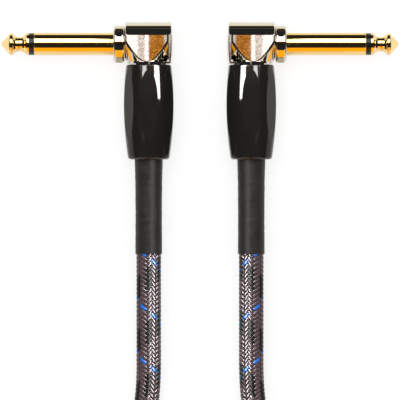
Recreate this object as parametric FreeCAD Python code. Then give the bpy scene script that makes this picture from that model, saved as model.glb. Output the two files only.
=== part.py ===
import FreeCAD, Part
import math
import os

# Short lead for a musical instrument: one screened cable in a woven jacket, with a right-angle
# 6.35 mm (quarter inch) phone plug on each end. Millimetres, +Z up.
# The lead lies flat: both plugs point outwards along X, and the cable runs down from them along -Y,
# to a return loop on the surface. Every piece of the right plug is built where it lies, and the left
# plug is its mirror image.
# Inside a plug, "out" is the distance from the cable axis towards the tip, "down" the distance below
# the shaft axis towards the cable, and "up_z" the height above both axes.

Vector = FreeCAD.Vector

# Gaps between neighbours
FIT = 0.05              # fixed piece round a fixed piece, on the radius
LAYER_GAP = 0.1         # between the layers of the cable, and round it
RUN = 0.1               # between the screw threads of head and barrel, on the radius
CLEAR = 0.3             # between pieces that move past each other
RING_PLAY = 0.15        # round the clamp ring, which turns in the barrel

# Places of the axes
CABLE_X = 14.56         # cable axes of the two plugs, from the mirror plane

# Plug shaft
SHAFT_D = 6.35
SHAFT_REACH = 31.75     # apex of the tip to the face of the collar
TIP_LENGTH = 7.8
TIP_RELIEF = 0.06       # how far the tip stays inside the shaft's diameter
TIP_NOSE_R = 0.45
TIP_CONE = 1.95         # length of the cone behind the nose
TIP_BULB = 1.55         # length of the rounded bulb behind the cone
TIP_FALL = 0.5          # length of the steep fall from the bulb to the neck
TIP_NECK_DEPTH = 1.18   # neck below the shaft's surface
TIP_RIM = 0.6           # width of the full rim at the back of the tip
TIP_FLARE = 0.4         # short cone in front of that rim
BAND_LENGTH = 1.4       # black insulating band behind the tip
SHAFT_EDGE = 0.15       # chamfer on the sleeve's front edge
ROD_D = 2.2             # rod that carries the tip's signal to the back
CORE_TUBE_D = 4.0       # insulating tube round the rod
SHANK_D = 6.0           # threaded rear end of the sleeve contact
COLLAR_D = 10.6
COLLAR_LENGTH = 3.3
COLLAR_ROUND = 0.8

# Pieces behind the shaft, inside the head
LUG_THICK = 0.5
GROUND_LUG_D = 8.4
GROUND_TAIL = 7.6       # how far down the ground lug's tail reaches
GROUND_TAIL_WIDE = 2.0
NUT_FLATS = 7.4
NUT_THICK = 1.5
WASHER_D = 5.6
WASHER_THICK = 0.5
TIP_LUG_D = 4.4
TIP_TAIL = 5.0
TIP_TAIL_WIDE = 1.8
RIVET_D = 3.2
RIVET_THICK = 0.6
SOLDER_FOOT_R = 0.85    # solder on a lug's face
SOLDER_END_R = 0.65     # its blunt end, towards the cable
SOLDER_WALL = 0.2       # solder over the far side of the conductor
SOLDER_SET = 0.9        # solder centre above the end of a lug's tail
DRAIN_D = 1.0           # twisted screen wires that run to the ground lug
DRAIN_LENGTH = 3.0

# Head
HEAD_FRONT = 6.75       # face towards the shaft, from the cable axis
HEAD_BACK = 5.7         # face under the rear cap, on the other side
HEAD_R = 6.25           # rounded top, about the shaft axis
HEAD_HALF_Z = 5.7       # flat front and back faces
HEAD_DROP = 5.55        # underside below the shaft axis
HEAD_EDGE = 0.5         # rounding of the head's edges
FLANK_EDGE = 0.9        # rounding where its flat sides run into the cone
FRONT_WALL = 3.15
CAVITY_D = 9.2
CONE_FOOT_R = 5.5       # chamfer cone at the head's underside
CONE_ANGLE = 25.0
FOOT_RING_D = 12.3
FOOT_RING_HIGH = 0.5
CAP_EDGE_THICK = 0.75
CAP_CROWN = 0.45
CAP_EDGE = 0.25         # rounding of the cap's outer edge
CAP_BOSS_LONG = 1.1
CAP_BOSS_WALL = 0.8

# Spigot under the head, with its screw thread
SPIGOT_D = 10.5
SPIGOT_LONG = 7.45
SPIGOT_BORE_D = 8.8
THREAD_PITCH = 1.0
THREAD_DEPTH = 0.3
THREAD_RINGS = 6
THREAD_START = 0.9      # plain part above the first groove

# Barrel
SEAM = 0.3              # dark gap between head and barrel
BARREL_LONG = 26.9
BARREL_TOP_R = 6.45
BARREL_MAX_R = 7.075
BARREL_MAX_AT = 10.95   # widest place, below the top of the barrel
BARREL_FOOT_R = 5.95
BARREL_TOP_ROUND = 0.45
BARREL_FOOT_ROUND = 0.85
FACET_R = 6.55          # six flats, from the axis; the lead rests on one of them
FACETS = 6
BARREL_BORE_LONG = 15.15  # bore from the top to the inner shoulder

# Cable clamp inside the barrel
COLLET_TOP = 2.6        # sleeve that reaches up into the spigot
COLLET_FLANGE_R = 5.0
COLLET_FLANGE_THICK = 1.2
COLLET_JAW_LONG = 6.4
COLLET_JAW_R = 4.9
COLLET_TIP_R = 4.35
COLLET_SLITS = 4
COLLET_SLIT_WIDE = 0.7
COLLET_SLIT_START = 0.8
RING_LONG = 4.1
RING_R = 5.2
RING_RIM_R = 5.5
RING_RIM_LONG = 1.4

# Heat-shrink sleeve
SHRINK_SHOWS = 26.85    # length outside the barrel
SHRINK_INSIDE = 7.7     # length inside the barrel
SHRINK_TOP_R = 4.0
SHRINK_SLOPE = 6.0      # steep part below the barrel
SHRINK_SLOPE_R = 3.83
SHRINK_WAIST_R = 3.75
SHRINK_WAIST_AT = 15.7  # waist below the barrel
SHRINK_FOOT_R = 3.8
SHRINK_BORE_GAP = 0.05

# Cable layers: outer radii, and where each is cut back, below the shaft axis
CABLE_D = 7.0
INNER_JACKET_R = 3.0
SCREEN_R = 1.9
SCREEN_WALL = 0.3
DIELECTRIC_R = 1.5
CONDUCTOR_R = 0.4
CONDUCTOR_CUT = 3.1
DIELECTRIC_CUT = 6.4
SCREEN_CUT = 8.6
INNER_JACKET_CUT = 9.6
WOVEN_JACKET_CUT = 11.6

# Worked out from the sizes above
SHAFT_R = SHAFT_D / 2
ROD_R = ROD_D / 2
SHANK_R = SHANK_D / 2
CABLE_R = CABLE_D / 2
AXIS_Z = FACET_R
COLLAR_FACE = HEAD_FRONT + COLLAR_LENGTH
TIP_APEX = COLLAR_FACE + SHAFT_REACH
TIP_BACK = TIP_APEX - TIP_LENGTH
BAND_BACK = TIP_BACK - BAND_LENGTH
CAVITY_FRONT = HEAD_FRONT - FRONT_WALL
NUT_FRONT = CAVITY_FRONT - LUG_THICK
SHANK_END = NUT_FRONT - NUT_THICK
TIP_LUG_FRONT = SHANK_END - WASHER_THICK
RIVET_FRONT = TIP_LUG_FRONT - LUG_THICK
SPIGOT_END = HEAD_DROP + SPIGOT_LONG
BARREL_TOP = HEAD_DROP + SEAM
BARREL_END = BARREL_TOP + BARREL_LONG
BARREL_SHOULDER = BARREL_TOP + BARREL_BORE_LONG
BARREL_BORE_R = SPIGOT_D / 2 + RUN
RING_END = BARREL_SHOULDER - CLEAR
RING_START = RING_END - RING_LONG
RING_RIM_START = RING_START + (RING_LONG - RING_RIM_LONG) / 2
JAW_START = SPIGOT_END + COLLET_FLANGE_THICK
JAW_END = JAW_START + COLLET_JAW_LONG
SHRINK_START = BARREL_END - SHRINK_INSIDE
SHRINK_END = BARREL_END + SHRINK_SHOWS
AXIS_Y = (HEAD_R + SHRINK_END) / 2 - HEAD_R

# Points of the cable's route outside the plugs, from the left plug round to the right one, chosen by
# hand: level out of the plug, down to the surface, and one loose loop.
FLOOR = CABLE_R
ROUTE = [
    (-CABLE_X, -50.0, AXIS_Z),
    (-CABLE_X, -78.5, FLOOR),
    (-22.0, -95.0, FLOOR),
    (-35.5, -108.0, FLOOR),
    (-42.5, -127.0, FLOOR),
    (-40.0, -147.5, FLOOR),
    (-29.0, -164.0, FLOOR),
    (-10.0, -174.5, FLOOR),
    (10.0, -174.5, FLOOR),
    (29.5, -164.0, FLOOR),
    (40.5, -147.0, FLOOR),
    (42.5, -126.5, FLOOR),
    (36.0, -108.0, FLOOR),
    (21.5, -94.5, FLOOR),
    (CABLE_X, -78.0, FLOOR),
    (CABLE_X, -49.0, AXIS_Z),
]
ARC_SHARE = 0.45        # share of the shorter run that an arc takes on each side of its point


def place(out, down, up_z=0.0):
    """Point of the right plug in the lead's frame."""
    return Vector(CABLE_X + out, AXIS_Y - down, AXIS_Z + up_z)


def closed_face(start, steps):
    """Flat face from a start point and steps: a point is a straight step, a pair of points an arc."""
    edges = []
    here = start
    for step in steps:
        if isinstance(step, tuple):
            edges.append(Part.Arc(here, step[0], step[1]).toShape())
            here = step[1]
        else:
            edges.append(Part.LineSegment(here, step).toShape())
            here = step
    edges.append(Part.LineSegment(here, start).toShape())
    return Part.Face(Part.Wire(edges))


def mapped(steps, where):
    """The same steps with each pair of numbers turned into a point by the function where."""
    points = []
    for step in steps:
        if isinstance(step[0], tuple):
            points.append((where(*step[0]), where(*step[1])))
        else:
            points.append(where(*step))
    return points


def turned_on_shaft(steps):
    """Solid of revolution about the shaft axis; steps are (out, radius)."""
    points = mapped(steps, lambda out, radius: place(out, -radius))
    face = closed_face(points[0], points[1:])
    return face.revolve(place(0, 0), Vector(1, 0, 0), 360)


def turned_on_cable(steps):
    """Solid of revolution about the cable axis; steps are (down, radius)."""
    points = mapped(steps, lambda down, radius: place(radius, down))
    face = closed_face(points[0], points[1:])
    return face.revolve(place(0, 0), Vector(0, 1, 0), 360)


def tube_on_shaft(out_a, out_b, outer, inner=0.0):
    """Plain tube or pin about the shaft axis, from one end to the other."""
    return turned_on_shaft([(out_a, inner), (out_a, outer), (out_b, outer), (out_b, inner)])


def tube_on_cable(down_a, down_b, outer, inner=0.0):
    """Plain tube or pin about the cable axis, from one end to the other."""
    return turned_on_cable([(down_a, inner), (down_a, outer), (down_b, outer), (down_b, inner)])


def block(out_a, out_b, down_a, down_b, half_wide):
    """Rectangular block, given by its ends and half its width across the plug."""
    corner = place(out_a, down_b, -half_wide)
    return Part.makeBox(out_b - out_a, down_b - down_a, 2 * half_wide, corner)


def prism_about(axis_point, axis, first, sides, inradius, length):
    """Regular prism along an axis; first is the direction of the first flat."""
    corner_r = inradius / math.cos(math.pi / sides)
    points = []
    for index in range(sides + 1):
        turn = FreeCAD.Rotation(axis, 360.0 * (index + 0.5) / sides)
        points.append(axis_point + turn.multVec(first) * corner_r)
    return Part.Face(Part.makePolygon(points)).extrude(axis * length)


def tip_contact():
    """Tip with its cone, bulb and neck, on a rod that is riveted at the back."""
    full = SHAFT_R - TIP_RELIEF
    bulb_end = TIP_CONE + TIP_BULB
    neck_from = bulb_end + TIP_FALL
    neck_to = TIP_LENGTH - TIP_RIM - TIP_FLARE
    profile = [
        (TIP_APEX, 0),
        (TIP_APEX, TIP_NOSE_R),
        (TIP_APEX - TIP_CONE, full - 0.6),
        ((TIP_APEX - TIP_CONE - TIP_BULB / 2, full), (TIP_APEX - bulb_end, full - 0.45)),
        (TIP_APEX - neck_from, full - 0.85),
        ((TIP_APEX - (neck_from + neck_to) / 2, SHAFT_R - TIP_NECK_DEPTH),
         (TIP_APEX - neck_to, full - 0.32)),
        (TIP_BACK + TIP_RIM, full),
        (TIP_BACK, full),
        (TIP_BACK, ROD_R),
        (RIVET_FRONT, ROD_R),
        (RIVET_FRONT, RIVET_D / 2),
        (RIVET_FRONT - RIVET_THICK, RIVET_D / 2),
        (RIVET_FRONT - RIVET_THICK, 0),
    ]
    return turned_on_shaft(profile)


def tip_insulator():
    """Black band behind the tip, in one piece with the tube round the rod."""
    bore = ROD_R + FIT
    profile = [
        (TIP_BACK, bore),
        (TIP_BACK, SHAFT_R - TIP_RELIEF),
        (BAND_BACK, SHAFT_R - TIP_RELIEF),
        (BAND_BACK, CORE_TUBE_D / 2),
        (SHANK_END, CORE_TUBE_D / 2),
        (SHANK_END, bore),
    ]
    return turned_on_shaft(profile)


def sleeve_contact():
    """Long sleeve of the plug, with a thinner threaded shank through the collar and the head."""
    bore = CORE_TUBE_D / 2 + FIT
    profile = [
        (BAND_BACK, bore),
        (BAND_BACK, SHAFT_R - SHAFT_EDGE),
        (BAND_BACK - SHAFT_EDGE, SHAFT_R),
        (COLLAR_FACE, SHAFT_R),
        (COLLAR_FACE, SHANK_R),
        (SHANK_END, SHANK_R),
        (SHANK_END, bore),
    ]
    return turned_on_shaft(profile)


def shoulder_collar():
    """Round collar between sleeve and head, with rounded edges."""
    outer = COLLAR_D / 2
    bore = SHANK_R + FIT
    corner = COLLAR_ROUND * (1 - math.sqrt(0.5))
    profile = [
        (HEAD_FRONT, bore),
        (HEAD_FRONT, outer - COLLAR_ROUND),
        ((HEAD_FRONT + corner, outer - corner), (HEAD_FRONT + COLLAR_ROUND, outer)),
        (COLLAR_FACE - COLLAR_ROUND, outer),
        ((COLLAR_FACE - corner, outer - corner), (COLLAR_FACE, outer - COLLAR_ROUND)),
        (COLLAR_FACE, bore),
    ]
    return turned_on_shaft(profile)


def ground_lug():
    """Solder tag of the sleeve: a ring under the nut, with a tail down to the cable."""
    bore = SHANK_R + FIT
    ring = tube_on_shaft(NUT_FRONT, CAVITY_FRONT, GROUND_LUG_D / 2, bore)
    tail_top = (bore + GROUND_LUG_D / 2) / 2
    tail = block(NUT_FRONT, CAVITY_FRONT, tail_top, GROUND_TAIL, GROUND_TAIL_WIDE / 2)
    return ring.fuse(tail).removeSplitter()


def shank_nut():
    """Hexagon nut that holds shaft, collar and ground lug to the head."""
    body = prism_about(place(SHANK_END, 0), Vector(1, 0, 0), Vector(0, 0, 1), 6, NUT_FLATS / 2, NUT_THICK)
    return body.cut(tube_on_shaft(SHANK_END - 1, NUT_FRONT + 1, SHANK_R + FIT))


def rear_insulator():
    """Insulating washer between the sleeve's shank and the tip lug."""
    return tube_on_shaft(TIP_LUG_FRONT, SHANK_END, WASHER_D / 2, ROD_R + FIT)


def tip_lug():
    """Solder tag of the tip: a ring under the rivet, with a tail down to the conductor."""
    bore = ROD_R + FIT
    ring = tube_on_shaft(RIVET_FRONT, TIP_LUG_FRONT, TIP_LUG_D / 2, bore)
    tail_top = (bore + TIP_LUG_D / 2) / 2
    tail = block(RIVET_FRONT, TIP_LUG_FRONT, tail_top, TIP_TAIL, TIP_TAIL_WIDE / 2)
    return ring.fuse(tail).removeSplitter()


def stripped_conductor():
    """Straight end of the conductor inside the plug, used to shape the solder round it."""
    return tube_on_cable(CONDUCTOR_CUT, SCREEN_CUT, CONDUCTOR_R)


def solder_blob(face, out_end, tail_end):
    """Solder on a lug's face, drawn as a blunt cone that reaches towards the cable axis."""
    foot = place(face, tail_end - SOLDER_SET)
    return Part.makeCone(SOLDER_FOOT_R, SOLDER_END_R, face - out_end, foot, Vector(-1, 0, 0))


def tip_solder():
    """Solder between the conductor and the tip lug."""
    blob = solder_blob(RIVET_FRONT, -CONDUCTOR_R - SOLDER_WALL, TIP_TAIL)
    return blob.cut(stripped_conductor())


def shield_drain():
    """Screen wires twisted together, from the cut screen up to the ground lug."""
    out = DIELECTRIC_R + CLEAR + DRAIN_D / 2
    low = place(out, SCREEN_CUT)
    return Part.makeCylinder(DRAIN_D / 2, DRAIN_LENGTH, low, Vector(0, 1, 0))


def ground_solder():
    """Solder between the twisted screen and the ground lug."""
    blob = solder_blob(NUT_FRONT, DIELECTRIC_R + LAYER_GAP, GROUND_TAIL)
    return blob.cut(shield_drain())


def head_section(out_a, out_b):
    """Head's cross-section, round on top and flat at the sides, drawn out between two planes."""
    crease = math.sqrt(HEAD_R ** 2 - HEAD_HALF_Z ** 2)
    steps = [
        place(out_a, HEAD_DROP, -HEAD_HALF_Z),
        place(out_a, -crease, -HEAD_HALF_Z),
        (place(out_a, -HEAD_R, 0), place(out_a, -crease, HEAD_HALF_Z)),
        place(out_a, HEAD_DROP, HEAD_HALF_Z),
    ]
    return closed_face(steps[0], steps[1:]).extrude(Vector(out_b - out_a, 0, 0))


def chamfer_cone():
    """Cone that takes the head's lower corners in towards the round foot ring."""
    middle = (HEAD_FRONT - HEAD_BACK) / 2
    high = 2 * (HEAD_DROP + HEAD_R)
    foot = place(middle, HEAD_DROP)
    widest = CONE_FOOT_R + high * math.tan(math.radians(CONE_ANGLE))
    return Part.makeCone(CONE_FOOT_R, widest, high, foot, Vector(0, 1, 0))


def spigot():
    """Threaded tube under the head; each turn of the thread is drawn as one groove."""
    outer = SPIGOT_D / 2
    steps = [(HEAD_DROP - FOOT_RING_HIGH, 0), (HEAD_DROP - FOOT_RING_HIGH, outer)]
    for ring in range(THREAD_RINGS):
        down = HEAD_DROP + THREAD_START + ring * THREAD_PITCH
        steps.append((down, outer))
        steps.append((down + THREAD_PITCH / 2, outer - THREAD_DEPTH))
    steps.append((HEAD_DROP + THREAD_START + THREAD_RINGS * THREAD_PITCH, outer))
    steps.append((SPIGOT_END, outer))
    steps.append((SPIGOT_END, 0))
    return turned_on_cable(steps)


def head_housing():
    """Cast head: rounded box with a conical foot, threaded spigot, cavity and cable passage."""
    box = head_section(-HEAD_BACK, HEAD_FRONT).common(chamfer_cone())
    seams = edges_in_plane(box, place(-HEAD_BACK, HEAD_DROP), Vector(1, 0, 0))
    seams += edges_in_plane(box, place(-HEAD_BACK, HEAD_DROP), Vector(0, 1, 0))
    flanks = [edge for edge in box.Edges if edge.BoundBox.ZLength < 1e-6 < edge.BoundBox.YLength
              and edge.BoundBox.XLength > HEAD_HALF_Z]
    box = box.makeFillet(FLANK_EDGE, flanks)
    box = box.makeFillet(HEAD_EDGE, edges_without(box, seams))
    foot_ring = tube_on_cable(HEAD_DROP - FOOT_RING_HIGH, HEAD_DROP, FOOT_RING_D / 2)
    foot_ring = foot_ring.common(block(-HEAD_BACK, HEAD_FRONT, 0, HEAD_DROP, FOOT_RING_D))
    solid = box.fuse([foot_ring, spigot()])
    cavity = tube_on_shaft(-HEAD_BACK - 1, CAVITY_FRONT, CAVITY_D / 2)
    passage_top = SHANK_R + FIT + CLEAR
    passage = tube_on_cable(passage_top, SPIGOT_END + 1, SPIGOT_BORE_D / 2)
    shank_hole = tube_on_shaft(CAVITY_FRONT - 1, HEAD_FRONT + 1, SHANK_R + FIT)
    return solid.cut([cavity, passage, shank_hole]).removeSplitter()


def edges_in_plane(shape, point, normal):
    """Edges of a shape that lie wholly in a plane across one of the axes."""
    found = []
    for edge in shape.Edges:
        box = edge.BoundBox
        corners = [Vector(box.XMin, box.YMin, box.ZMin), Vector(box.XMax, box.YMax, box.ZMax)]
        if all(abs((corner - point).dot(normal)) < 1e-6 for corner in corners):
            found.append(edge)
    return found


def edges_without(shape, left_out):
    """The other edges of a shape."""
    return [edge for edge in shape.Edges if not any(edge.isSame(other) for other in left_out)]


def rear_cap():
    """Slightly domed lid on the back of the head, with a ring that fits the cavity."""
    outer_face = -HEAD_BACK - CAP_EDGE_THICK - CAP_CROWN
    plate = head_section(outer_face, -HEAD_BACK)
    dome_r = (HEAD_R ** 2 + CAP_CROWN ** 2) / (2 * CAP_CROWN)
    plate = plate.common(Part.makeSphere(dome_r, place(outer_face + dome_r, 0)))
    seam = edges_in_plane(plate, place(-HEAD_BACK, 0), Vector(1, 0, 0))
    sides = [edge for edge in plate.Edges if edge.BoundBox.XLength > CAP_EDGE_THICK - 1e-6
             and edge.BoundBox.YLength < 1e-6]
    plate = plate.makeFillet(CAP_EDGE, edges_without(plate, seam + sides))
    boss_r = CAVITY_D / 2 - FIT
    boss = tube_on_shaft(-HEAD_BACK, -HEAD_BACK + CAP_BOSS_LONG, boss_r, boss_r - CAP_BOSS_WALL)
    return plate.fuse(boss).removeSplitter()


def jaw_radius(down):
    """Outer radius of the collet's tapered jaws at a place along the cable."""
    share = (down - JAW_START) / COLLET_JAW_LONG
    return COLLET_JAW_R + (COLLET_TIP_R - COLLET_JAW_R) * share


def collet():
    """Cable clamp: a sleeve in the spigot, a flange on its end, and jaws parted by slits."""
    bore = CABLE_R + LAYER_GAP
    sleeve_r = SPIGOT_BORE_D / 2 - LAYER_GAP
    body = turned_on_cable([
        (SPIGOT_END - COLLET_TOP, bore),
        (SPIGOT_END - COLLET_TOP, sleeve_r),
        (SPIGOT_END, sleeve_r),
        (SPIGOT_END, COLLET_FLANGE_R),
        (JAW_START, COLLET_FLANGE_R),
        (JAW_START, COLLET_JAW_R),
        (JAW_END, COLLET_TIP_R),
        (JAW_END, bore),
    ])
    slit_top = JAW_START + COLLET_SLIT_START
    slit = block(0, COLLET_FLANGE_R, slit_top, JAW_END + 1, COLLET_SLIT_WIDE / 2)
    for index in range(COLLET_SLITS):
        turned = slit.copy()
        turned.rotate(place(0, 0), Vector(0, 1, 0), 360.0 * (index + 0.5) / COLLET_SLITS)
        body = body.cut(turned)
    return body


def clamp_ring():
    """Ring that the barrel pushes over the jaws; it travels with the barrel without turning."""
    rim_end = RING_RIM_START + RING_RIM_LONG
    return turned_on_cable([
        (RING_START, jaw_radius(RING_START) + RING_PLAY),
        (RING_START, RING_R),
        (RING_RIM_START, RING_R),
        (RING_RIM_START, RING_RIM_R),
        (rim_end, RING_RIM_R),
        (rim_end, RING_R),
        (RING_END, RING_R),
        (RING_END, jaw_radius(RING_END) + RING_PLAY),
    ])


def barrel():
    """Screwed barrel: barrel-shaped outside with six flats, stepped bore with the ring's groove."""
    top_mid = BARREL_TOP_ROUND * (1 - math.sqrt(0.5))
    foot_mid = BARREL_FOOT_ROUND * (1 - math.sqrt(0.5))
    side_start = BARREL_TOP + BARREL_TOP_ROUND
    side_end = BARREL_END - BARREL_FOOT_ROUND
    groove_r = RING_RIM_R + RING_PLAY
    rear_bore = SHRINK_TOP_R + CLEAR
    profile = [
        (BARREL_TOP, BARREL_BORE_R),
        (BARREL_TOP, BARREL_TOP_R - BARREL_TOP_ROUND),
        ((BARREL_TOP + top_mid, BARREL_TOP_R - top_mid), (side_start, BARREL_TOP_R)),
        ((BARREL_TOP + BARREL_MAX_AT, BARREL_MAX_R), (side_end, BARREL_FOOT_R)),
        ((BARREL_END - foot_mid, BARREL_FOOT_R - foot_mid), (BARREL_END, BARREL_FOOT_R - BARREL_FOOT_ROUND)),
        (BARREL_END, rear_bore),
        (BARREL_SHOULDER, rear_bore),
        (BARREL_SHOULDER, BARREL_BORE_R),
        (RING_RIM_START + RING_RIM_LONG + RING_PLAY, BARREL_BORE_R),
        (RING_RIM_START + RING_RIM_LONG + RING_PLAY, groove_r),
        (RING_RIM_START - RING_PLAY, groove_r),
        (RING_RIM_START - RING_PLAY, BARREL_BORE_R),
    ]
    body = turned_on_cable(profile)
    start = place(0, BARREL_END + 1)
    flats = prism_about(start, Vector(0, 1, 0), Vector(0, 0, 1), FACETS, FACET_R, BARREL_LONG + 2)
    return body.common(flats)


def heat_shrink():
    """Thin sleeve shrunk over the cable, from inside the barrel to well outside it."""
    bore = CABLE_R + SHRINK_BORE_GAP
    profile = [
        (SHRINK_START, bore),
        (SHRINK_START, SHRINK_TOP_R),
        (BARREL_END, SHRINK_TOP_R),
        (BARREL_END + SHRINK_SLOPE, SHRINK_SLOPE_R),
        (BARREL_END + SHRINK_WAIST_AT, SHRINK_WAIST_R),
        (SHRINK_END, SHRINK_FOOT_R),
        (SHRINK_END, bore),
    ]
    return turned_on_cable(profile)


def cable_points(cut):
    """Route of a layer that is cut back to a distance below the shaft axes."""
    start = Vector(-CABLE_X, AXIS_Y - cut, AXIS_Z)
    end = Vector(CABLE_X, AXIS_Y - cut, AXIS_Z)
    return [start] + [Vector(*point) for point in ROUTE] + [end]


def rounded_path(points):
    """Straight runs joined by tangent arcs: the wire, its length and the radii of its arcs."""
    edges = []
    radii = []
    here = points[0]
    for before, point, after in zip(points, points[1:], points[2:]):
        run_in = point - before
        run_out = after - point
        reach = ARC_SHARE * min(run_in.Length, run_out.Length)
        toward = Vector(run_in).normalize()
        away = Vector(run_out).normalize()
        half_turn = toward.getAngle(away) / 2
        radius = reach / math.tan(half_turn)
        inward = (away - toward).normalize()
        arc_start = point - toward * reach
        arc_end = point + away * reach
        arc_middle = point + inward * (radius / math.cos(half_turn) - radius)
        edges.append(Part.LineSegment(here, arc_start).toShape())
        edges.append(Part.Arc(arc_start, arc_middle, arc_end).toShape())
        radii.append(radius)
        here = arc_end
    edges.append(Part.LineSegment(here, points[-1]).toShape())
    path = Part.Wire(edges)
    return path, path.Length, radii


def swept(path, start, radius):
    """Round bar along a path that leaves its start along -Y."""
    ring = Part.Wire(Part.makeCircle(radius, start, Vector(0, -1, 0)))
    return path.makePipeShell([ring], True, False)


def cable_layer(cut, outer, inner=0.0):
    """One layer of the cable, from plug to plug."""
    points = cable_points(cut)
    path, length, radii = rounded_path(points)
    layer = swept(path, points[0], outer)
    if inner > 0:
        layer = layer.cut(swept(path, points[0], inner))
    section = math.pi * (outer ** 2 - inner ** 2)
    print("layer", round(outer, 2), "length", round(length, 1), "volume over section x length",
          round(layer.Volume / (section * length), 5), "smallest radius", round(min(radii), 1))
    return layer


def cable_layers():
    """The five layers, from the copper conductor out to the woven jacket."""
    return {
        "cable_conductor": cable_layer(CONDUCTOR_CUT, CONDUCTOR_R),
        "cable_dielectric": cable_layer(DIELECTRIC_CUT, DIELECTRIC_R, CONDUCTOR_R + LAYER_GAP),
        "cable_screen": cable_layer(SCREEN_CUT, SCREEN_R, SCREEN_R - SCREEN_WALL),
        "cable_inner_jacket": cable_layer(INNER_JACKET_CUT, INNER_JACKET_R, SCREEN_R + LAYER_GAP),
        "cable_woven_jacket": cable_layer(WOVEN_JACKET_CUT, CABLE_R, INNER_JACKET_R + LAYER_GAP),
    }


PLUG_PIECES = {
    "tip_contact": tip_contact,
    "tip_insulator": tip_insulator,
    "sleeve_contact": sleeve_contact,
    "shoulder_collar": shoulder_collar,
    "ground_lug": ground_lug,
    "shank_nut": shank_nut,
    "rear_insulator": rear_insulator,
    "tip_lug": tip_lug,
    "tip_solder": tip_solder,
    "shield_drain": shield_drain,
    "ground_solder": ground_solder,
    "head_housing": head_housing,
    "rear_cap": rear_cap,
    "cable_collet": collet,
    "clamp_ring": clamp_ring,
    "barrel": barrel,
    "heat_shrink": heat_shrink,
}


def all_pieces():
    """Every piece of the lead by name: both plugs and the cable between them."""
    pieces = {}
    for name, build in PLUG_PIECES.items():
        right = build()
        pieces[name + "_right"] = right
        pieces[name + "_left"] = right.mirror(Vector(0, 0, 0), Vector(1, 0, 0))
    pieces.update(cable_layers())
    return pieces


def report_route():
    """Print the runs, turns and radii of the cable's route."""
    points = cable_points(WOVEN_JACKET_CUT)
    path, length, radii = rounded_path(points)
    runs = [round((b - a).Length, 1) for a, b in zip(points, points[1:])]
    print("runs", runs)
    print("radii", [round(radius, 1) for radius in radii])
    print("cable length between the shaft axes", round(length + 2 * WOVEN_JACKET_CUT, 1))


os.makedirs("parts", exist_ok=True)
for piece_name, piece in all_pieces().items():
    solids = piece.Solids
    bounds = piece.BoundBox
    print(piece_name, len(solids), "solid", round(piece.Volume, 2), "mm3",
          [round(value, 2) for value in (bounds.XMin, bounds.YMin, bounds.ZMin,
                                         bounds.XMax, bounds.YMax, bounds.ZMax)])
    solid = solids[0] if len(solids) == 1 else piece
    solid.exportStep("parts/" + piece_name + ".step")
report_route()
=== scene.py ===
"""Looks of a short instrument cable: two right-angle plugs joined by a cable in a woven jacket.

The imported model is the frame, in metres. It lies flat: the plugs point outwards along X, the cable
runs down from them along -Y to a return loop, and +Z is up. "Down" is a distance below the plugs'
shaft axis, towards the cable.
"""

import math

import bpy
import numpy as np
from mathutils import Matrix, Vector


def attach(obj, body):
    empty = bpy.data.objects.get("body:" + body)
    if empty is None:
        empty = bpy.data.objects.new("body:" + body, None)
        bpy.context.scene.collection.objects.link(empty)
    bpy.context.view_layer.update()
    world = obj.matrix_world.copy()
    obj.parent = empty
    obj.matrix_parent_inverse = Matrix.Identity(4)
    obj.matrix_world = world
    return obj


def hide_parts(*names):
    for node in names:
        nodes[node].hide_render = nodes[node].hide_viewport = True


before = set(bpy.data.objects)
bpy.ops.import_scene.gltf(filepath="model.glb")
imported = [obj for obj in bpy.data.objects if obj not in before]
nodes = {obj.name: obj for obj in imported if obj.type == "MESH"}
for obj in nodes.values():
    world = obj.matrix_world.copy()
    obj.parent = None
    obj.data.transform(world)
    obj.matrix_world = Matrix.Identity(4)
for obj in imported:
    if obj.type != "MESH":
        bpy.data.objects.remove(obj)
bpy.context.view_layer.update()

SIDES = {"left": -1.0, "right": 1.0}
CABLE_X = 0.01456       # cable axes of the two plugs
AXIS_Y = 0.026675       # shaft axes
AXIS_Z = 0.00655
TAU = 2 * math.pi

# ---- camera ----
PHOTO_WIDE = 0.1136     # width of the photograph's frame at the shaft axes
PHOTO_MIDDLE_Y = -0.01759
CAMERA_HEIGHT = 2.0     # above the shaft axes


def camera_above():
    """Camera straight above, whose frame is PHOTO_WIDE wide at the height of the shaft axes."""
    data = bpy.data.cameras.new("camera_above")
    data.lens = data.sensor_width * CAMERA_HEIGHT / PHOTO_WIDE
    data.clip_start, data.clip_end = 0.1, 10
    camera = bpy.data.objects.new("camera_above", data)
    camera.location = (0, PHOTO_MIDDLE_Y, AXIS_Z + CAMERA_HEIGHT)
    bpy.context.scene.collection.objects.link(camera)
    bpy.context.scene.camera = camera


camera_above()
bpy.context.scene.view_settings.view_transform = "Standard"

# ---- shader groups ----


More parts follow.
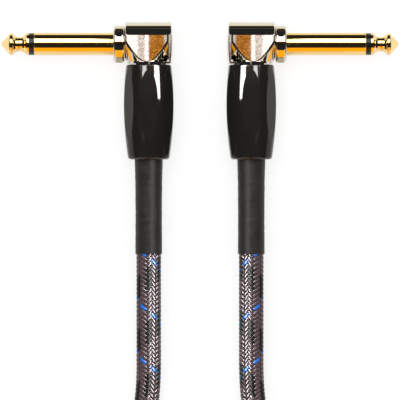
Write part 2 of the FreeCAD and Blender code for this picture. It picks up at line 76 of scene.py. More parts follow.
class Nodes:
    """Short calls for adding and joining the nodes of one shader tree."""

    def __init__(self, tree):
        self.tree = tree

    def add(self, kind, settings=None, **inputs):
        """New node; settings are its own properties, inputs are values or output sockets by name."""
        node = self.tree.nodes.new("ShaderNode" + kind)
        for key, value in (settings or {}).items():
            setattr(node, key, value)
        for key, value in inputs.items():
            self.put(node, key.replace("_", " "), value)
        return node

    def put(self, node, name, value):
        """Set an input, found by its name or number, to a value, or link a socket to it."""
        socket = node.inputs[int(name)] if name.isdigit() else node.inputs[name]
        if isinstance(value, bpy.types.NodeSocket):
            self.tree.links.new(value, socket)
        else:
            socket.default_value = value

    def math(self, operation, a, b=0.0, c=0.0):
        """Output of a Math node on up to three values or sockets."""
        node = self.add("Math", {"operation": operation})
        for index, value in enumerate((a, b, c)):
            self.put(node, str(index), value)
        return node.outputs[0]

    def mix(self, factor, a, b):
        """Colour between a and b."""
        node = self.add("Mix", {"data_type": "RGBA"})
        for index, value in ((0, factor), (6, a), (7, b)):
            self.put(node, str(index), value)
        return node.outputs[2]

    def span(self, value, low, high, to_low, to_high):
        """Value carried from one range to another and kept in it."""
        node = self.add("MapRange", None, Value=value)
        for index, edge in enumerate((low, high, to_low, to_high), 1):
            self.put(node, str(index), edge)
        return node.outputs[0]


def shader_group(name, inputs, outputs):
    """Empty shader group with named inputs (name, default) and outputs; a colour default has four numbers."""
    tree = bpy.data.node_groups.new(name, "ShaderNodeTree")
    for label, value in inputs:
        kind = "NodeSocketFloat" if isinstance(value, float) else "NodeSocketColor"
        tree.interface.new_socket(label, in_out="INPUT", socket_type=kind).default_value = value
    for label, kind in outputs:
        tree.interface.new_socket(label, in_out="OUTPUT", socket_type="NodeSocket" + kind)
    return Nodes(tree), tree.nodes.new("NodeGroupInput").outputs, tree.nodes.new("NodeGroupOutput")


def marks_group():
    """Two noises on object coordinates: a broad one drives tint and roughness, a fine one the height."""
    build, given, end = shader_group(
        "surface_marks", [("Broad", 250.0), ("Fine", 2500.0), ("Smooth", 0.05), ("Rough", 0.1)],
        [("Tint", "Float"), ("Roughness", "Float"), ("Height", "Float")])
    place = build.add("TexCoord").outputs["Object"]
    broad = build.add("TexNoise", None, Vector=place, Scale=given["Broad"], Detail=4.0, Roughness=0.6)
    fine = build.add("TexNoise", None, Vector=place, Scale=given["Fine"], Detail=3.0, Roughness=0.5)
    build.put(end, "Tint", build.span(broad.outputs[0], 0.35, 0.65, 0.0, 1.0))
    build.put(end, "Roughness", build.span(broad.outputs[0], 0.35, 0.65, given["Smooth"], given["Rough"]))
    build.put(end, "Height", fine.outputs[0])
    return build.tree


def turning_group():
    """Fine rings left by a lathe, across the X axis: a sine of X whose phase a noise shifts."""
    build, given, end = shader_group("turning_rings", [("Rings", 9000.0)], [("Height", "Float")])
    place = build.add("TexCoord").outputs["Object"]
    wave = build.add("TexWave", {"bands_direction": "X"}, Vector=place, Scale=given["Rings"], Distortion=0.6,
                     Detail=2.0)
    build.put(end, "Height", wave.outputs["Fac"])
    return build.tree


def yarn_group():
    """Filaments along a yarn, from its UV map: a sine across it that slants along it, and a noise. Its colour
    follows that height, from Base, the yarn's shaded tone, in the grooves to Light, its lit tone, on the
    raised filaments: painted shade and painted sheen.
    """
    build, given, end = shader_group(
        "yarn_filaments", [("Filaments", 14.0), ("Slant", 0.9), ("Base", (0.1, 0.1, 0.1, 1.0)),
                           ("Light", (0.2, 0.2, 0.2, 1.0))], [("Colour", "Color"), ("Height", "Float")])
    uv = build.add("UVMap", {"uv_map": "yarn"}).outputs[0]
    part = build.add("SeparateXYZ", None, Vector=uv).outputs
    across = build.math("MULTIPLY", part[1], given["Filaments"])
    phase = build.math("MULTIPLY_ADD", part[0], given["Slant"], across)
    wave = build.math("SINE", build.math("MULTIPLY", phase, TAU))
    speckle = build.add("TexNoise", None, Vector=uv, Scale=3.0, Detail=3.0, Roughness=0.6)
    ridge = build.math("MULTIPLY_ADD", wave, 0.25, speckle.outputs[0])
    build.put(end, "Colour", build.mix(build.span(ridge, 0.2, 0.8, 0.0, 1.0), given["Base"], given["Light"]))
    build.put(end, "Height", ridge)
    return build.tree


def grain_group():
    """Share of dark grain: a fine noise, kept to faces whose own normal lies along Z."""
    build, given, end = shader_group("face_grain", [("Grain", 2600.0)], [("Share", "Float")])
    place = build.add("TexCoord").outputs
    noise = build.add("TexNoise", None, Vector=place["Object"], Scale=given["Grain"], Detail=2.0,
                      Roughness=0.6)
    upright = build.math("ABSOLUTE", build.add("SeparateXYZ", None, Vector=place["Normal"]).outputs[2])
    flat = build.span(upright, 0.985, 0.998, 0.0, 1.0)
    build.put(end, "Share", build.math("MULTIPLY", build.span(noise.outputs[0], 0.36, 0.62, 0.0, 1.0), flat))
    return build.tree


MARKS, TURNING, YARN, GRAIN = marks_group(), turning_group(), yarn_group(), grain_group()


def use_group(build, group, **inputs):
    """Outputs of a shader group placed in a material with its own values."""
    node = build.tree.nodes.new("ShaderNodeGroup")
    node.node_tree = group
    for key, value in inputs.items():
        build.put(node, key, value)
    return node.outputs


def new_material(name, colour, **sockets):
    """Material with its Principled shader; sockets are uniform values by name."""
    material = bpy.data.materials.new(name)
    material.use_nodes = True
    material.diffuse_color = (*colour, 1.0)
    build = Nodes(material.node_tree)
    shader = material.node_tree.nodes["Principled BSDF"]
    for key, value in sockets.items():
        shader.inputs[key.replace("_", " ")].default_value = value
    return material, build, shader


def marked(name, colour, second, smooth, rough, bump, fine=2500.0, rings=0.0, grain=None, **sockets):
    """Solid finish: two close colours, a roughness that wanders, a fine bump, and lathe rings if given.

    grain is the darker colour of the specks in the flat faces, if they have any.
    """
    material, build, shader = new_material(name, colour, **sockets)
    marks = use_group(build, MARKS, Fine=fine, Smooth=smooth, Rough=rough)
    tint = build.mix(marks["Tint"], (*colour, 1.0), (*second, 1.0))
    if grain:
        tint = build.mix(use_group(build, GRAIN)["Share"], tint, (*grain, 1.0))
    build.put(shader, "Base Color", tint)
    build.put(shader, "Roughness", marks["Roughness"])
    height = marks["Height"]
    if rings:
        lathe = use_group(build, TURNING, Rings=rings)
        height = build.math("MULTIPLY_ADD", lathe["Height"], 0.5, height)
    bumped = build.add("Bump", None, Strength=bump, Distance=0.00002, Height=height)
    build.put(shader, "Normal", bumped.outputs[0])
    return material


def woven(name, shaded_tone, light, **sockets):
    """Yarn finish: glossy filaments raised along the yarn, coloured by their height between a shaded and a
    lit tone of the yarn, which is painted shade in the grooves and painted sheen on the ridges.
    """
    material, build, shader = new_material(name, shaded_tone, **sockets)
    yarn = use_group(build, YARN, Base=(*shaded_tone, 1.0), Light=(*light, 1.0))
    build.put(shader, "Base Color", yarn["Colour"])
    bumped = build.add("Bump", None, Strength=0.35, Distance=0.00003, Height=yarn["Height"])
    build.put(shader, "Normal", bumped.outputs[0])
    return material


gold = marked("gold_plating", (1.0, 0.77, 0.36), (1.0, 0.73, 0.31), 0.025, 0.05, 0.015, rings=9000.0,
              Metallic=1.0)
nickel = marked("head_plating", (0.80, 0.76, 0.70), (0.77, 0.73, 0.67), 0.01, 0.02, 0.01,
                grain=(0.45, 0.38, 0.33), Metallic=1.0)
black_gloss = marked("black_gloss", (0.0165, 0.0145, 0.0125), (0.018, 0.016, 0.014), 0.08, 0.11, 0.01)
shrink = marked("shrink_tubing", (0.0175, 0.0165, 0.0165), (0.0225, 0.0215, 0.0215), 0.42, 0.52, 0.2,
                fine=6000.0)
black_plastic = marked("black_plastic", (0.008, 0.008, 0.009), (0.012, 0.012, 0.012), 0.2, 0.3, 0.1)
tinned = marked("tinned_sheet", (0.62, 0.60, 0.55), (0.55, 0.53, 0.48), 0.2, 0.35, 0.2, Metallic=1.0)
steel = marked("nut_steel", (0.5, 0.5, 0.5), (0.42, 0.42, 0.43), 0.2, 0.35, 0.2, rings=4000.0, Metallic=1.0)
solder = marked("solder", (0.55, 0.56, 0.58), (0.42, 0.43, 0.45), 0.25, 0.45, 0.4, Metallic=1.0)
copper = marked("bare_copper", (0.78, 0.36, 0.2), (0.62, 0.27, 0.15), 0.2, 0.35, 0.3, Metallic=1.0)
nylon = marked("natural_nylon", (0.72, 0.70, 0.64), (0.64, 0.62, 0.56), 0.35, 0.5, 0.2)
brass = marked("turned_brass", (0.72, 0.52, 0.24), (0.62, 0.44, 0.2), 0.15, 0.25, 0.15, rings=4000.0,
               Metallic=1.0)
foam = marked("core_plastic", (0.8, 0.8, 0.78), (0.72, 0.72, 0.7), 0.4, 0.55, 0.2)
rubber = marked("jacket_rubber", (0.02, 0.018, 0.02), (0.03, 0.027, 0.03), 0.5, 0.65, 0.3)
# Each yarn's two colours are its shaded and its lit tone, mixed by the filaments' height: painted shade and
# painted sheen.
plum_yarn = woven("plum_yarn", (0.062, 0.036, 0.046), (0.15, 0.10, 0.115), Roughness=0.22)
dark_yarn = woven("dark_yarn", (0.008, 0.009, 0.008), (0.02, 0.022, 0.019), Roughness=0.4,
                  Specular_IOR_Level=0.2)
blue_yarn = woven("blue_yarn", (0.0, 0.13, 0.78), (0.0, 0.28, 1.0), Roughness=0.3)

NODE_MATERIALS = {
    "tip_contact": gold, "tip_insulator": black_plastic, "sleeve_contact": gold, "shoulder_collar": nickel,
    "ground_lug": tinned, "shank_nut": steel, "rear_insulator": black_plastic, "tip_lug": tinned,
    "tip_solder": solder, "shield_drain": copper, "ground_solder": solder, "head_housing": nickel,
    "rear_cap": nickel, "cable_collet": nylon, "clamp_ring": brass, "barrel": black_gloss,
}


def dress_nodes():
    """Each kept CAD node takes its material in every slot it has."""
    for name, material in NODE_MATERIALS.items():
        for side in SIDES:
            piece = nodes[name + "_" + side]
            piece.data.materials.clear()
            piece.data.materials.append(material)


dress_nodes()

# ---- meshes ----


def grid_faces(rows, columns, close_rows=False, close_columns=True):
    """Corner numbers of the quads between neighbours of a grid, rows by columns, as one array."""
    row = np.arange(rows if close_rows else rows - 1)
    column = np.arange(columns if close_columns else columns - 1)
    row, column = np.meshgrid(row, column, indexing="ij")
    row_on, column_on = (row + 1) % rows, (column + 1) % columns
    corners = (row * columns + column, row * columns + column_on, row_on * columns + column_on,
               row_on * columns + column)
    return np.stack(corners, -1).reshape(-1, 4)


def quad_object(name, points, faces, material, uv=None):
    """Smooth object at the origin from points and quads; uv holds one pair for each corner."""
    mesh = bpy.data.meshes.new(name)
    mesh.vertices.add(len(points))
    mesh.vertices.foreach_set("co", np.asarray(points, np.float32).ravel())
    mesh.loops.add(faces.size)
    mesh.loops.foreach_set("vertex_index", faces.astype(np.int32).ravel())
    mesh.polygons.add(len(faces))
    mesh.polygons.foreach_set("loop_start", np.arange(0, faces.size, 4, dtype=np.int32))
    mesh.polygons.foreach_set("use_smooth", np.ones(len(faces), bool))
    if uv is not None:
        mesh.uv_layers.new(name="yarn").data.foreach_set("uv", uv.astype(np.float32).ravel())
    mesh.update(calc_edges=True)
    mesh.validate()
    mesh.materials.append(material)
    made = bpy.data.objects.new(name, mesh)
    bpy.context.scene.collection.objects.link(made)
    return made


def turned(name, side, profile, material, around=96, ripple=None):
    """Closed profile of (down, radius) pairs turned about a plug's cable axis.

    A point is (axis x + radius * sin angle, shaft y - down, axis z + radius * cos angle), and ripple adds
    to the radius as a function of down and angle.
    """
    down, radius = (np.array(column)[:, None] for column in zip(*profile))
    angle = -SIDES[side] * np.linspace(0, TAU, around, endpoint=False)[None, :]
    if ripple is not None:
        radius = radius + ripple(down, angle)
    x = SIDES[side] * CABLE_X + radius * np.sin(angle)
    y = AXIS_Y - down
    z = AXIS_Z + radius * np.cos(angle)
    points = np.stack(np.broadcast_arrays(x, y, z), -1).reshape(-1, 3)
    faces = grid_faces(len(profile), around, close_rows=True)
    if SIDES[side] > 0:
        faces = faces[:, ::-1]
    return quad_object(name, points, faces, material)


# ---- cable ----
# The route's points in mm, as in the part's source, with one more on each straight run out of a plug.
ROUTE = [
    (-14.56, -8.0, 6.55), (-14.56, -21.3, 6.55), (-14.56, -50.0, 6.55), (-14.56, -78.5, 3.5),
    (-22.0, -95.0, 3.5), (-35.5, -108.0, 3.5), (-42.5, -127.0, 3.5), (-40.0, -147.5, 3.5),
    (-29.0, -164.0, 3.5), (-10.0, -174.5, 3.5), (10.0, -174.5, 3.5), (29.5, -164.0, 3.5),
    (40.5, -147.0, 3.5), (42.5, -126.5, 3.5), (36.0, -108.0, 3.5), (21.5, -94.5, 3.5),
    (14.56, -78.0, 3.5), (14.56, -49.0, 6.55), (14.56, -19.8, 6.55), (14.56, -8.0, 6.55),
]
ROUTE_STEPS = 24        # points of the curve between two of the route's
CORE_R = 0.003          # the smooth core under the yarns
CORE_STEPS = 8          # fineness of its round section


def route_curve(name, bevel):
    """NURBS curve with the route's points as its control points."""
    data = bpy.data.curves.new(name, "CURVE")
    data.dimensions = "3D"
    data.resolution_u = ROUTE_STEPS
    data.bevel_depth = bevel
    data.bevel_resolution = CORE_STEPS
    data.use_fill_caps = True
    spline = data.splines.new("NURBS")
    spline.points.add(len(ROUTE) - 1)
    points = np.hstack([np.array(ROUTE) / 1000, np.ones((len(ROUTE), 1))])
    spline.points.foreach_set("co", points.ravel())
    spline.order_u = 3
    spline.use_endpoint_u = True
    made = bpy.data.objects.new(name, data)
    bpy.context.scene.collection.objects.link(made)
    return made


def route_line(step):
    """Points read from the route's spline, evenly spaced along it, with their distances from its start."""
    bare = route_curve("route_line", 0.0)
    mesh = bpy.data.meshes.new_from_object(bare)
    points = np.zeros(len(mesh.vertices) * 3)
    mesh.vertices.foreach_get("co", points)
    points = points.reshape(-1, 3)
    bpy.data.objects.remove(bare)
    bpy.data.meshes.remove(mesh)
    along = np.concatenate([[0], np.cumsum(np.linalg.norm(np.diff(points, axis=0), axis=1))])
    even = np.linspace(0, along[-1], int(along[-1] / step) + 1)
    return np.stack([np.interp(even, along, points[:, axis]) for axis in range(3)], -1), even


# Woven jacket: twelve yarns each way, over two and under two.
YARNS = 12
PITCH = 0.0151          # one turn of a yarn
WEAVE_START_Y = -0.0255     # where both ends of the weave lie, under the sleeves
WEAVE_R = 0.00308       # middle of the weave
LIFT = 0.00023          # how far a yarn rises over and dips under that
HALF_WIDE = 0.00045     # half width and half thickness of a yarn
HALF_THICK = 0.00021
AROUND = 8              # corners of a yarn's section
WAVE_SAMPLES = 8        # samples in one over-and-under
LINE_STEP = 0.00002     # distance between the points read from the route
END_POINTS = 2000       # points of each end among which the weave starts
FLATNESS = 2.2          # how square the over-and-under is
OVER_PHASE = {-1: 0.5, 1: 2.5}  # crossings by which each hand's wave is shifted, so that they interlace
START_TURN = math.radians(22.5)
END_TURN = math.radians(30.0)
COLOUR_SPREAD = 0.07    # how far from the middle a lane changes colour, as a share of the cable
BLUE_LANE = 6
DARK_LANES = (10, 11, 0, 1, 2)


def weave_frame():
    """Evenly spaced centre points from sleeve to sleeve, with directions to the right and up there."""
    line, along = route_line(LINE_STEP)
    first = np.interp(-WEAVE_START_Y, -line[:END_POINTS, 1], along[:END_POINTS])
    last = along[-1] - np.interp(-WEAVE_START_Y, -line[::-1][:END_POINTS, 1], along[:END_POINTS])
    crossings = 2 * round(YARNS * (last - first) / PITCH)
    count = int(crossings / 4 * WAVE_SAMPLES) + 1
    place = np.linspace(first, last, count)
    centre = np.stack([np.interp(place, along, line[:, axis]) for axis in range(3)], -1)
    ahead = np.gradient(centre, axis=0)
    ahead /= np.linalg.norm(ahead, axis=1)[:, None]
    right = np.cross(ahead, (0, 0, 1))
    right /= np.linalg.norm(right, axis=1)[:, None]
    return centre, right, np.cross(right, ahead), crossings, place - first


def eased(value):
    """Smooth step from 0 to 1: 3 v squared minus 2 v cubed."""
    value = np.clip(value, 0, 1)
    return value * value * (3 - 2 * value)


def yarn_tube(hand, lane, jacket):
    """Points and UVs of one yarn, samples by corners.

    With c the number of crossings from the start, the yarn's angle is hand * 15 degrees * c + 30 degrees *
    lane + a start, plus a slow turn of the whole jacket along the loop. Its radius is the weave's middle
    plus the lift times a flattened cosine of one over-and-under, and its section is a flat oval.
    """
    centre, right, up, crossings, along = jacket
    count = np.linspace(0, crossings, len(centre))
    share = count / crossings
    turn = START_TURN + END_TURN * eased((share - 0.2) / 0.6)
    angle = hand * TAU * count / (2 * YARNS) + TAU * lane / YARNS + turn
    wave = np.cos(TAU * (2 * lane + hand * count - OVER_PHASE[hand]) / 4)
    radius = WEAVE_R + LIFT * np.tanh(FLATNESS * wave) / math.tanh(FLATNESS)
    outward = np.cos(angle)[:, None] * up + np.sin(angle)[:, None] * right
    path = centre + radius[:, None] * outward
    run = np.gradient(path, axis=0)
    run /= np.linalg.norm(run, axis=1)[:, None]
    wide = np.cross(run, outward)
    wide /= np.linalg.norm(wide, axis=1)[:, None]
    thick = np.cross(wide, run)
    corner = np.linspace(0, TAU, AROUND, endpoint=False)
    points = (path[:, None] + HALF_WIDE * np.cos(corner)[None, :, None] * wide[:, None]
              + HALF_THICK * np.sin(corner)[None, :, None] * thick[:, None])
    return points, along * 1000


def yarn_piece(name, runs, material, jacket):
    """One object from several lengths of yarn; a run is (hand, lane, first sample, last sample).

    Three quads close each end of the eight-cornered tube.
    """
    points, faces, uvs = [], [], []
    total = 0
    for hand, lane, first, last in runs:
        tube, along = yarn_tube(hand, lane, jacket)
        tube, along = tube[first:last + 1], along[first:last + 1]
        rows = len(tube)
        face = grid_faces(rows, AROUND)
        u = along[face // AROUND]
        v = (face % AROUND) / AROUND
        v[:, 1:3] = np.where(v[:, 1:3] < v[:, [0, 3]], 1.0, v[:, 1:3])
        cap = np.array([[0, 1, 2, 7], [2, 3, 6, 7], [3, 4, 5, 6]])
        face = np.vstack([face, cap[:, ::-1], cap + (rows - 1) * AROUND])
        u = np.vstack([u, np.full((6, 4), along[0])])
        v = np.vstack([v, np.zeros((6, 4))])
        points.append(tube.reshape(-1, 3))
        faces.append(face + total)
        uvs.append(np.stack([u, v], -1).reshape(-1, 2))
        total += rows * AROUND
    faces = np.vstack(faces)[:, ::-1]
    uvs = np.vstack(uvs).reshape(-1, 4, 2)[:, ::-1].reshape(-1, 2)
    return quad_object(name, np.vstack(points), faces, material, uvs)


def weave_pieces():
    """All yarns by colour: each lane has one colour in the left half of the loop and one in the right.

    The right half mirrors the left one, so its blue and dark lanes are those that meet the mirror image
    of the left half's.
    """
    jacket = weave_frame()
    centre, crossings = jacket[0], jacket[3]
    last = len(centre) - 1
    shift = crossings // 2
    left_blue, right_blue = (-1, BLUE_LANE), (1, (BLUE_LANE - shift - 1) % YARNS)
    left_dark = {(1, lane) for lane in DARK_LANES}
    right_dark = {(-1, (lane + shift - 1) % YARNS) for lane in DARK_LANES}
    halves = ((left_blue, left_dark), (right_blue, right_dark))
    runs = {"blue": [], "dark": [], "plum_one": [], "plum_two": []}
    for hand in OVER_PHASE:
        for lane in range(YARNS):
            yarn = (hand, lane)
            change = last // 2 + int(last * COLOUR_SPREAD * math.sin(2.4 * lane + hand))
            plum = "plum_one" if hand < 0 else "plum_two"
            for (blue, dark), ends in zip(halves, ((0, change), (change, last))):
                colour = "blue" if yarn == blue else "dark" if yarn in dark else plum
                runs[colour].append((*yarn, *ends))
    finishes = {"blue": blue_yarn, "dark": dark_yarn, "plum_one": plum_yarn, "plum_two": plum_yarn}
    return [yarn_piece("weave_" + colour, runs[colour], finishes[colour], jacket) for colour in runs]


core = route_curve("cable_core", CORE_R)
core.data.materials.append(rubber)
weave = weave_pieces()
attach(core, "root")
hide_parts("cable_conductor", "cable_dielectric", "cable_screen", "cable_inner_jacket",
            "cable_woven_jacket")
for piece in weave:
    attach(piece, "root")

# ---- cable ends inside the plugs ----
# Each layer: where it is cut, below the shaft axis, its inner and outer radius, in mm, slot and finish.
CUT_LAYERS = {
    "conductor": (3.1, 0.05, 0.4, "copper", copper),
    "dielectric": (6.4, 0.4, 1.5, "core_plastic", foam),
    "screen": (8.6, 1.5, 1.9, "copper", copper),
    "inner_jacket": (9.6, 1.9, 2.95, "jacket_rubber", rubber),
}
CUT_END = 36.0          # where the cable's own core has begun


def cable_ends():
    """The stripped layers of the cable in each plug, as tubes inside each other."""
    for side in SIDES:
        for layer, (cut, inner, outer, slot, material) in CUT_LAYERS.items():
            wall = np.linspace(cut, CUT_END, 12)
            profile = [(down, outer) for down in wall] + [(down, inner) for down in wall[::-1]]
            profile = [(down / 1000, radius / 1000) for down, radius in profile]
            piece = turned("cable_end_" + layer + "_" + side, side, profile, material, around=32)
            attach(piece, "root")


cable_ends()

# ---- heat-shrink sleeves ----
# Outer wall in mm, as (down, radius).
SHRINK_PROFILE = [(25.05, 4.0), (32.75, 4.0), (38.75, 3.83), (48.45, 3.75), (59.6, 3.8)]
SHRINK_BORE_R = 0.00356
SHRINK_LIP, SHRINK_LIP_STEP = 0.00012, 0.00004  # rounding of its lower end, in two steps
WALL_STEPS, BORE_STEPS = 260, 60
WRINKLE = 0.0000085     # height of each of the sines that make the wrinkles


def shrink_ripple(down, angle):
    """Faint wrinkles: a few sines along and round the sleeve, fading at its ends."""
    waves = ((2900.0, 1, 0.3), (1750.0, 2, 1.7), (4100.0, -1, 2.9), (960.0, 1, 4.4), (2300.0, -2, 5.2))
    total = sum(np.sin(number * down + turns * angle + phase) for number, turns, phase in waves)
    fade = eased((down - 0.031) / 0.004) * eased((0.0594 - down) / 0.002)
    return WRINKLE * total * fade


def shrink_sleeve(side):
    """Sleeve from its profile: outer wall in fine steps, a rounded end, and the bore back up."""
    down, radius = (np.array(column) / 1000 for column in zip(*SHRINK_PROFILE))
    steps = np.linspace(down[0], down[-1] - SHRINK_LIP, WALL_STEPS)
    wall = list(zip(steps, np.interp(steps, down, radius)))
    lip = [(down[-1] - SHRINK_LIP_STEP, radius[-1] - SHRINK_LIP_STEP), (down[-1], radius[-1] - SHRINK_LIP),
           (down[-1], SHRINK_BORE_R)]
    bore = [(place, SHRINK_BORE_R) for place in np.linspace(down[-1], down[0], BORE_STEPS)[1:]]
    profile = wall + lip + bore
    outside = (np.arange(len(profile)) < len(wall))[:, None]
    return turned("heat_shrink_" + side + "_skin", side, profile, shrink,
                  ripple=lambda place, angle: shrink_ripple(place, angle) * outside)


for side in SIDES:
    sleeve = shrink_sleeve(side)
    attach(sleeve, "root")
    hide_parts("heat_shrink_" + side)

# ---- studio ----


MOTTLE_SCALE = 1900.0


def glow(name, colour, mottle=None):
    """Light of its own in one colour, or between two that a noise mixes."""
    material = bpy.data.materials.new(name)
    material.use_nodes = True
    material.node_tree.nodes.clear()
    build = Nodes(material.node_tree)
    light = build.add("Emission", None, Color=(*colour, 1.0))
    if mottle is not None:
        place = build.add("TexCoord").outputs["Object"]
        noise = build.add("TexNoise", None, Vector=place, Scale=MOTTLE_SCALE, Detail=3.0, Roughness=0.7)
        share = build.span(noise.outputs[0], 0.43, 0.6, 0.0, 1.0)
        build.put(light, "Color", build.mix(share, (*colour, 1.0), (*mottle, 1.0)))
    out = build.add("OutputMaterial")
    build.put(out, "Surface", light.outputs[0])
    material.cycles.emission_sampling = "NONE"
    return material


def glossy_card(name, points, rows, material):
    """Card of rows by two points, shown to glossy rays alone: it is reflected and shades nothing."""
    card = quad_object(name, points, grid_faces(rows, 2, close_columns=False), material)
    for kind in ("camera", "diffuse", "transmission", "volume_scatter", "shadow"):
        setattr(card, "visible_" + kind, False)


def tent_card(name, low, high, x_low, x_high, radius, material):
    """Bent card round the shaft axes: angle from straight above towards +Y, low to high, by X."""
    angle = np.radians(np.linspace(low, high, max(2, int((high - low) / 2))))[:, None]
    x = np.linspace(x_low, x_high, 2)[None, :]
    y, z = AXIS_Y + radius * np.sin(angle), AXIS_Z + radius * np.cos(angle)
    points = np.stack(np.broadcast_arrays(x, y, z), -1).reshape(-1, 3)
    glossy_card(name, points, len(angle), material)


PALE, DIM, BLACK = (0.95, 0.95, 0.87), (0.62, 0.58, 0.52), (0.02, 0.02, 0.02)
WHITE, AMBER, BROWN = (3.0, 3.0, 3.0), (1.3, 0.56, 0.015), (0.5, 0.19, 0.02)
GREY, CREAM, FAINT = (0.62, 0.62, 0.68), (0.85, 0.80, 0.62), (0.11, 0.085, 0.07)
PLAIN, WARM, SOFT_WHITE = (0.62, 0.60, 0.56), (1.0, 0.82, 0.5), (0.97, 0.97, 0.97)
LOW_COLLAR, LOW_SHAFT = (0.5, 0.45, 0.34), (0.9, 0.86, 0.86)

HALF_TENT = 0.5         # half the tent's length, and the radius of its cards
UNDER_R, WARM_R, BACK_R = 0.505, 0.507, 0.51    # cards that others lie in front of
FRONT_R = 0.495         # cards in front of all others
# Places along X as the camera sees them in the cards, 5/4 of the real ones.
LID_X = 0.0127          # outer edge of the lids
FACE_X = 0.0182         # middle of the heads
HEAD_EDGE_X = 0.0266    # where the heads end and the collars begin
SHAFT_X = 0.031         # where the collars end and the shafts begin
WIDE_X = 0.035          # beyond it the white band is wider
FAR_X = 0.28            # beyond it amber turns to cream
BRIGHT_WIDE, SPECKS_WIDE = 0.0011, 0.0027       # strips in the outer half of the faces
FACE_LOW, FACE_HIGH = 0.45, 1.95                # angles that the flat faces reflect

# Cards on both sides alike: name, angles low and high, half width, radius, colour.
MIDDLE_CARDS = (
    ("tent_dim", -182, -84, HALF_TENT, UNDER_R, DIM),
    ("tent_pale", 118, 180, HALF_TENT, UNDER_R, PALE),
    ("tent_warm", 110, 119, HALF_TENT, WARM_R, WARM),
    ("tent_black", -86, 118, HALF_TENT, BACK_R, BLACK),
    ("tent_faint", 87, 90.5, SHAFT_X, HALF_TENT, FAINT),
    ("patch_lid_40", 0.4, 0.9, LID_X, FRONT_R, (0.36, 0.31, 0.26)),
    ("patch_lid_90", 0.9, 1.3, LID_X, FRONT_R, (0.62, 0.55, 0.49)),
    ("patch_lid_130", 1.3, 1.95, LID_X, FRONT_R, (0.98, 0.92, 0.85)),
)
# Cards made once for each side: name, angles, places along X, radius, colour, and second colour if mottled.
SIDE_CARDS = (
    ("tent_white", 16, 45.5, HEAD_EDGE_X, HALF_TENT, HALF_TENT, WHITE, None),
    ("tent_white_low", 45, 57.5, WIDE_X, HALF_TENT, HALF_TENT, WHITE, None),
    ("tent_brown", 11, 16, HEAD_EDGE_X, HALF_TENT, HALF_TENT, BROWN, None),
    ("tent_amber_collar", -90, -39, HEAD_EDGE_X, SHAFT_X, HALF_TENT, AMBER, None),
    ("tent_amber", -84, -39, SHAFT_X, FAR_X, HALF_TENT, AMBER, None),
    ("tent_cream", -84, -39, FAR_X, HALF_TENT, HALF_TENT, CREAM, None),
    ("tent_low_collar", -182, -90, HEAD_EDGE_X, SHAFT_X, HALF_TENT, LOW_COLLAR, None),
    ("tent_low_shaft", -182, -84, SHAFT_X, HALF_TENT, HALF_TENT, LOW_SHAFT, None),
    ("patch_brown", FACE_LOW, FACE_HIGH, LID_X, FACE_X, FRONT_R, (0.42, 0.115, 0.0), (1.05, 0.5, 0.1)),
    ("patch_bright", FACE_LOW, FACE_HIGH, FACE_X, FACE_X + BRIGHT_WIDE, FRONT_R, (2.6, 2.6, 2.6), None),
    ("patch_specks", FACE_LOW, FACE_HIGH, FACE_X + BRIGHT_WIDE, FACE_X + BRIGHT_WIDE + SPECKS_WIDE, FRONT_R,
     (0.85, 0.76, 0.7), (1.5, 1.45, 1.4)),
    ("patch_white", FACE_LOW, FACE_HIGH, FACE_X + BRIGHT_WIDE + SPECKS_WIDE, HEAD_EDGE_X, FRONT_R,
     (1.75, 1.75, 1.75), (2.3, 2.3, 2.3)),
)
for name, low, high, half, radius, colour in MIDDLE_CARDS:
    tent_card(name, low, high, -half, half, radius, glow("glow_" + name, colour))
for side, sign in SIDES.items():
    for kind, low, high, near, far, radius, colour, second in SIDE_CARDS:
        name = kind + "_" + side
        light = glow("glow_" + name, colour, second)
        tent_card(name, low, high, *sorted((sign * near, sign * far)), radius, light)


def tent_end(name, x, y_low, y_high, low, high, colour):
    """Upright card across one end of the tent, between two places along Y and two heights."""
    y, z = np.meshgrid((y_low, y_high), (low, high), indexing="ij")
    points = np.stack([np.full(4, x), AXIS_Y + y.ravel(), AXIS_Z + z.ravel()], -1)
    glossy_card(name, points, 2, glow("glow_" + name, colour))


def near_card(name, x, corners, colour):
    """Small upright card close to the plugs, across X, from (y, z) corners: two low ones, two high ones."""
    points = np.array([(x, y, z) for y, z in corners])
    glossy_card(name, points, 2, glow("glow_" + name, colour))


near_card("card_between_barrels", 0,
          ((-0.0065, -0.001), (0.0155, -0.001), (-0.0065, 0.0085), (0.0155, 0.0088)), BLACK)
near_card("card_between_feet", 0,
          ((0.0155, -0.001), (0.0255, -0.001), (0.0155, 0.0088), (0.0240, 0.0045)), BLACK)
TIP_CARD_X = 0.062      # just beyond the tips
# Cards across the tent's ends: kind, places along Y from the shaft axes, heights from them, colour.
END_CARDS = (
    ("black", -0.52, 0.52, 0.02, 0.52, BLACK), ("cream", -0.52, -0.15, -0.075, 0.02, CREAM),
    ("amber", -0.52, -0.15, -0.235, -0.075, AMBER), ("grey", -0.52, -0.15, -0.52, -0.235, GREY),
    ("plain", -0.15, 0.52, -0.52, 0.02, PLAIN),
)
for side, sign in SIDES.items():
    near_card("card_tip_" + side, sign * TIP_CARD_X,
              ((AXIS_Y - 0.012, -0.008), (AXIS_Y + 0.012, -0.008), (AXIS_Y - 0.012, 0.0085),
               (AXIS_Y + 0.012, 0.0085)), SOFT_WHITE)
    for kind, y_low, y_high, low, high, colour in END_CARDS:
        tent_end("end_" + kind + "_" + side, sign * HALF_TENT, y_low, y_high, low, high, colour)


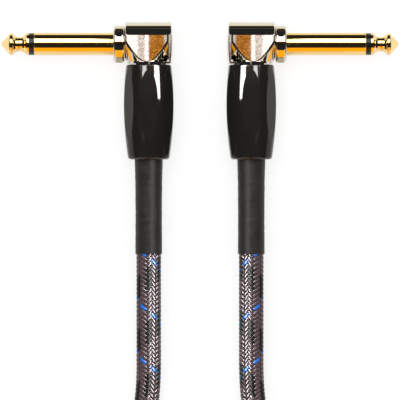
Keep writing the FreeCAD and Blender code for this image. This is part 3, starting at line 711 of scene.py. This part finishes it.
def area_lamp(name, place, size, power, target, receivers=None):
    """Rectangular lamp at a place, aimed at a target.

    With receivers it only draws highlights, on them alone; without, it only lights.
    """
    data = bpy.data.lights.new(name, "AREA")
    data.shape = "RECTANGLE"
    data.size, data.size_y = size
    data.energy = power
    lamp = bpy.data.objects.new(name, data)
    lamp.location = place
    lamp.rotation_euler = (Vector(target) - Vector(place)).to_track_quat("-Z", "Y").to_euler()
    bpy.context.scene.collection.objects.link(lamp)
    lamp.visible_camera = False
    lamp.visible_diffuse = not receivers
    lamp.visible_glossy = bool(receivers)
    if receivers:
        group = bpy.data.collections.new(name + "_receivers")
        for receiver in receivers:
            group.objects.link(receiver)
        lamp.light_linking.receiver_collection = group


FLOOR_HALF, FLOOR_Z = 3.0, -0.00002
FLOOR_SEEN = 0.74       # light of its own that the camera sees, so that the floor is white
WORLD_LIGHT = 0.62


def floor():
    """Plain floor that takes the shadows and isn't reflected."""
    y, x = np.meshgrid((-FLOOR_HALF, FLOOR_HALF), (-FLOOR_HALF, FLOOR_HALF), indexing="ij")
    points = np.stack([x.ravel(), y.ravel(), np.full(4, FLOOR_Z)], -1)
    material, build, shader = new_material("floor", (0.8, 0.8, 0.8), Roughness=1.0, Specular_IOR_Level=0.0)
    shader.inputs["Base Color"].default_value = (0.35, 0.35, 0.35, 1.0)
    shader.inputs["Emission Color"].default_value = (1.0, 1.0, 1.0, 1.0)
    seen = build.add("LightPath").outputs["Is Camera Ray"]
    build.put(shader, "Emission Strength", build.math("MULTIPLY", seen, FLOOR_SEEN))
    ground = quad_object("floor", points, grid_faces(2, 2, close_columns=False), material)
    ground.visible_glossy = False


def lamps():
    """Soft lamp from above, and strip lamps that only draw highlights on the pieces named with them."""
    area_lamp("soft_top", (-0.1, 0.25, 1.3), (1.0, 1.0), 6.0, (0, 0, 0))
    barrels = [nodes["barrel_" + side] for side in SIDES]
    sleeves = [bpy.data.objects["heat_shrink_" + side + "_skin"] for side in SIDES]
    for name, y, height, size, power, receivers in (
            ("barrels", 0.0285, 0.025, (0.0125, 0.033), 0.04, barrels),
            ("cables", -0.04, 0.0252, (0.012, 0.1), 0.13, weave),
            ("sleeves", -0.015, 0.0324, (0.012, 0.06), 0.006, sleeves)):
        area_lamp("strip_between_" + name, (0, y, height), size, power, (0, y, 0), receivers)
    for side, sign in SIDES.items():
        area_lamp("strip_outer_" + side, (sign * (CABLE_X + 0.13), 0.057, 0.3), (0.196, 0.10), 0.98,
                  (sign * CABLE_X, 0.0, 0.012), [nodes["barrel_" + side]])


def plain_world():
    """White world, dimmer as a light than as the camera sees it."""
    world = bpy.data.worlds.new("plain_world")
    bpy.context.scene.world = world
    world.use_nodes = True
    build = Nodes(world.node_tree)
    back = world.node_tree.nodes["Background"]
    seen = build.add("LightPath").outputs["Is Camera Ray"]
    build.put(back, "Strength", build.span(seen, 0.0, 1.0, WORLD_LIGHT, 1.0))
    back.inputs["Color"].default_value = (1.0, 1.0, 1.0, 1.0)


floor()
lamps()
plain_world()
